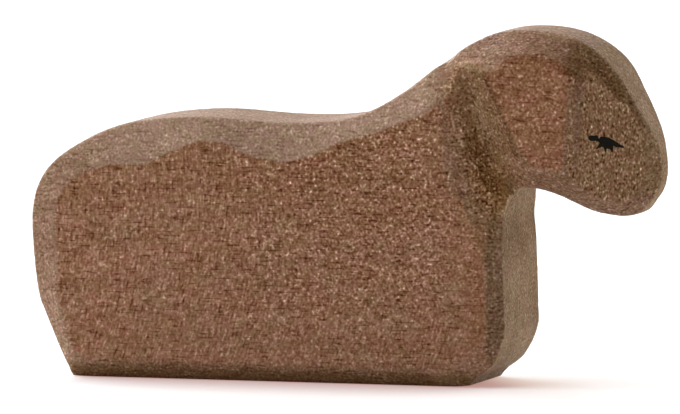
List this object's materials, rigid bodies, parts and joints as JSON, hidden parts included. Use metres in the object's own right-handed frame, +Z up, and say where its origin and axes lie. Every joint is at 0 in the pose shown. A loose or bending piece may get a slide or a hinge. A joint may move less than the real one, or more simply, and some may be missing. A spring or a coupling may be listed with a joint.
{
  "type": "sheep figurine",
  "caption": "Carved block sheep of brown-stained wood, standing on a flat base, with a scalloped back, hollowed neck, wedge-shaped face and black painted eyes.",
  "frame": {"origin": "on the floor, under the middle of the figure's length and thickness", "axes": "+X towards the nose, +Y towards the sheep's left side, +Z up"},
  "size_m": [0.1, 0.022, 0.0554],
  "materials": {
    "stained_wood": "matte brown stain",
    "eye_paint": "matte black paint"
  },
  "bodies": {
    "root": {"wooden_body": "stained_wood", "right_eye": "eye_paint", "left_eye": "eye_paint"}
  },
  "joints": []
}
